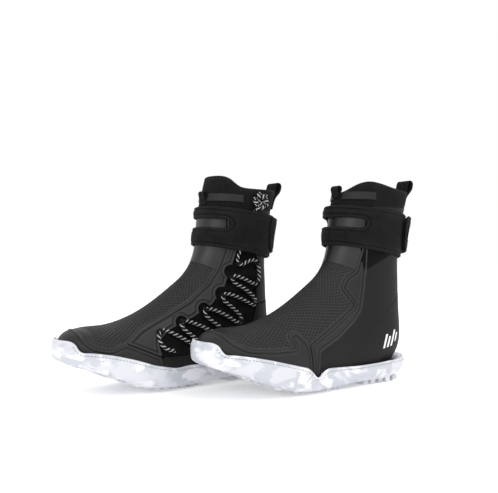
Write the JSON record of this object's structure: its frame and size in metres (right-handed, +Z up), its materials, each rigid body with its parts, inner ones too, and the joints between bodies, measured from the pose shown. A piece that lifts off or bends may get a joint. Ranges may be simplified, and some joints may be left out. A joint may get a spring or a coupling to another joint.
{
  "type": "high-cut lace-up boots",
  "caption": "Pair of high-cut black boots with side rope lacing, wrap-round ankle straps, pull loops and marbled pale rubber soles.",
  "frame": {"origin": "bottom centre of the pair's bounding box, on the floor", "axes": "+X from heel to toe, +Y to the wearer's left, +Z up"},
  "size_m": [0.4684, 0.2214, 0.2755],
  "materials": {
    "sole_rubber": "moulded white and pale grey marbled rubber, satin",
    "tread_rubber": "moulded pale grey rubber, matt",
    "midsole_foam": "closed-cell foam, matt",
    "lasting_board": "fibre board",
    "footbed_foam": "brushed knit over foam",
    "stiffener_plastic": "thermoformed sheet",
    "neoprene": "knit-faced neoprene, black",
    "collar_knit": "ribbed knit over neoprene, black",
    "mesh_film": "dark grey film embossed with small hexagonal dimples",
    "smooth_film": "smooth dark grey film, soft gloss",
    "rand_film": "dark grey moulded film, satin",
    "quarter_film": "near-black fine-grained film, satin",
    "bar_rubber": "dark grey moulded rubber",
    "webbing": "ribbed black webbing",
    "strap_neoprene": "black neoprene with stitched edges",
    "loop_tape": "fuzzy loop fastener tape",
    "hook_tape": "hook fastener tape",
    "mark_print": "white printed mark",
    "cord_braid": "black braided cord with white flecks"
  },
  "bodies": {
    "root": {"left_outsole": "sole_rubber", "left_tread_lugs": "tread_rubber", "left_midsole": "midsole_foam", "left_insole_board": "lasting_board", "left_footbed": "footbed_foam", "left_heel_stiffener": "stiffener_plastic", "left_toe_puff": "stiffener_plastic", "left_bootie": "neoprene", "left_collar": "collar_knit", "left_vamp": "mesh_film", "left_shin_panel": "smooth_film", "left_toe_rand": "rand_film", "left_lateral_quarter": "rand_film", "left_rear_quarter": "quarter_film", "left_heel_counter": "quarter_film", "left_medial_rail": "rand_film", "left_medial_heel_panel": "quarter_film", "left_collar_bar": "bar_rubber", "left_loop_tab": "webbing", "left_ankle_strap": "strap_neoprene", "left_loop_patch": "loop_tape", "left_heel_loop": "webbing", "left_lace": "cord_braid", "left_lace_keepers": "webbing", "left_lace_bundle": "cord_braid", "left_heel_mark": "mark_print", "right_outsole": "sole_rubber", "right_tread_lugs": "tread_rubber", "right_midsole": "midsole_foam", "right_insole_board": "lasting_board", "right_footbed": "footbed_foam", "right_heel_stiffener": "stiffener_plastic", "right_toe_puff": "stiffener_plastic", "right_bootie": "neoprene", "right_collar": "collar_knit", "right_vamp": "mesh_film", "right_shin_panel": "smooth_film", "right_toe_rand": "rand_film", "right_lateral_quarter": "rand_film", "right_rear_quarter": "quarter_film", "right_heel_counter": "quarter_film", "right_medial_rail": "rand_film", "right_medial_heel_panel": "quarter_film", "right_collar_bar": "bar_rubber", "right_loop_tab": "webbing", "right_ankle_strap": "strap_neoprene", "right_loop_patch": "loop_tape", "right_heel_loop": "webbing", "right_lace": "cord_braid", "right_lace_keepers": "webbing", "right_lace_bundle": "cord_braid", "right_heel_mark": "mark_print"},
    "left_strap_end": {"left_strap_flap": "strap_neoprene", "left_hook_patch": "hook_tape", "left_flap_label": "mark_print"},
    "left_pull_loop": {"left_front_loop": "webbing"},
    "right_strap_end": {"right_strap_flap": "strap_neoprene", "right_hook_patch": "hook_tape", "right_flap_label": "mark_print"},
    "right_pull_loop": {"right_front_loop": "webbing"}
  },
  "joints": [
    {"name": "left_strap_open", "type": "hinge", "parent": "root", "child": "left_strap_end", "pos_m": [-0.20196, 0.01915, 0.1915], "axis": [-0.1392, 0, 0.9903], "range_deg": [0, 110]},
    {"name": "left_pull_loop_tip", "type": "hinge", "parent": "root", "child": "left_pull_loop", "pos_m": [-0.1095, 0.05442, 0.24418], "axis": [0, 1, 0], "range_deg": [0, 80]},
    {"name": "right_strap_open", "type": "hinge", "parent": "root", "child": "right_strap_end", "pos_m": [-0.06343, -0.02602, 0.1915], "axis": [0.1388, 0.0097, -0.9903], "range_deg": [0, 110]},
    {"name": "right_pull_loop_tip", "type": "hinge", "parent": "root", "child": "right_pull_loop", "pos_m": [0.03126, -0.05475, 0.24418], "axis": [-0.0698, 0.9976, 0], "range_deg": [0, 80]}
  ]
}
